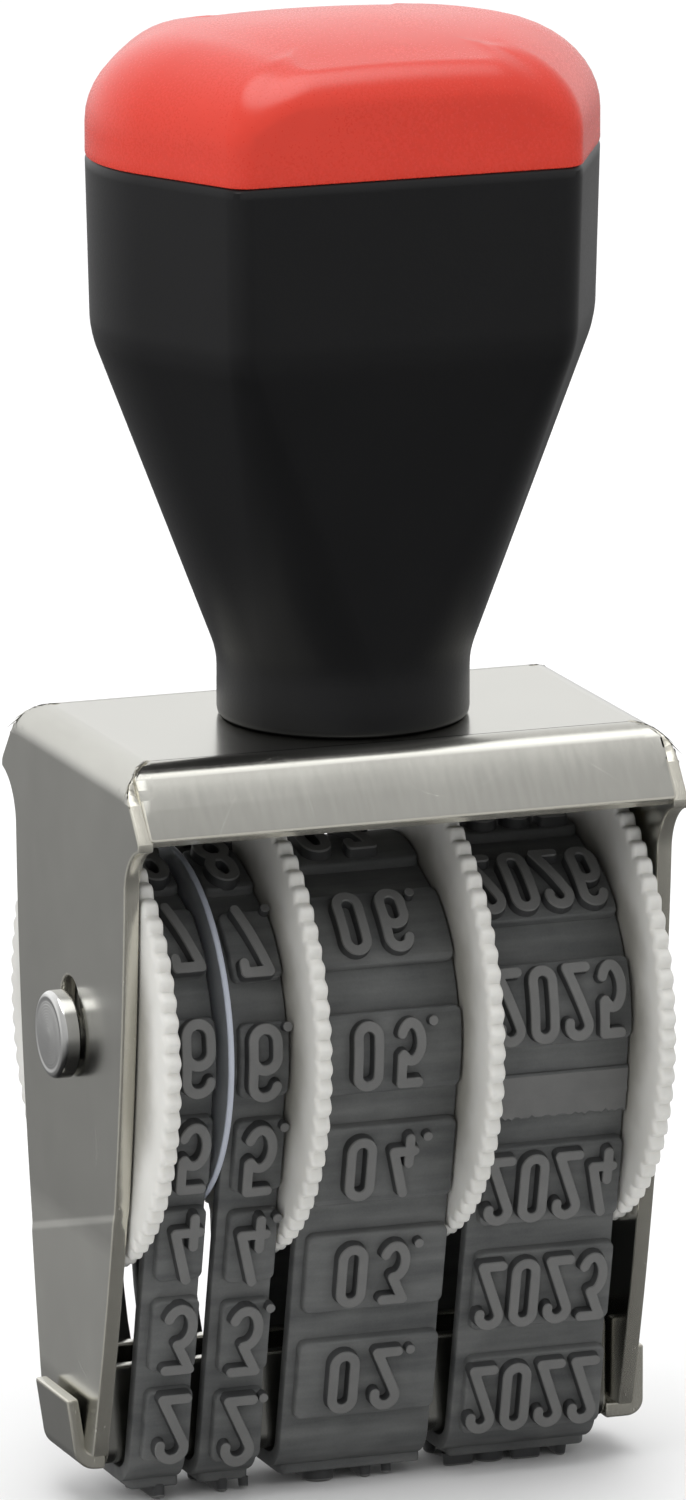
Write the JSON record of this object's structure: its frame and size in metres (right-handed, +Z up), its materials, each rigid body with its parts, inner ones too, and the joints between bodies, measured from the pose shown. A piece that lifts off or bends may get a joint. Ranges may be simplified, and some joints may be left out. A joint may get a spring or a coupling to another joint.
{
  "type": "date stamp",
  "caption": "Hand date stamp: endless rubber date bands on white thumbwheels in a folded steel frame, under a black plastic handle with a red cap.",
  "frame": {"origin": "on the print plane, below the middle of the axle", "axes": "+Z up the handle, +X along the axle towards the year band, -Y towards the front"},
  "size_m": [0.0346, 0.0264, 0.0824],
  "materials": {
    "sheet_steel": "bright rolled sheet with sheared edges",
    "turned_steel": "turned, with fine concentric marks",
    "wheel_plastic": "satin moulded plastic",
    "disc_plastic": "slightly translucent satin plastic",
    "band_rubber": "matt moulded rubber",
    "handle_plastic": "satin moulded plastic",
    "cap_plastic": "satin moulded plastic",
    "screw_steel": "plain zinc-plated steel"
  },
  "bodies": {
    "stamp_body": {"frame": "sheet_steel", "bridge": "sheet_steel", "axle": "turned_steel", "axle_collar": "turned_steel", "tens_band": "band_rubber", "units_band": "band_rubber", "month_band": "band_rubber", "year_band": "band_rubber", "handle_body": "handle_plastic", "handle_cap": "cap_plastic", "handle_screw": "screw_steel", "screw_washer": "screw_steel"},
    "tens_dial": {"tens_wheel": "wheel_plastic"},
    "disc": {"separator_disc": "disc_plastic"},
    "units_dial": {"units_wheel": "wheel_plastic"},
    "month_dial": {"month_wheel": "wheel_plastic"},
    "year_dial": {"year_wheel": "wheel_plastic"}
  },
  "joints": [
    {"name": "tens_dial_turn", "type": "hinge", "parent": "stamp_body", "child": "tens_dial", "pos_m": [0, 0, 0.0265], "axis": [1, 0, 0], "continuous": true},
    {"name": "disc_turn", "type": "hinge", "parent": "stamp_body", "child": "disc", "pos_m": [0, 0, 0.0265], "axis": [1, 0, 0], "continuous": true},
    {"name": "units_dial_turn", "type": "hinge", "parent": "stamp_body", "child": "units_dial", "pos_m": [0, 0, 0.0265], "axis": [1, 0, 0], "continuous": true},
    {"name": "month_dial_turn", "type": "hinge", "parent": "stamp_body", "child": "month_dial", "pos_m": [0, 0, 0.0265], "axis": [1, 0, 0], "continuous": true},
    {"name": "year_dial_turn", "type": "hinge", "parent": "stamp_body", "child": "year_dial", "pos_m": [0, 0, 0.0265], "axis": [1, 0, 0], "continuous": true}
  ]
}
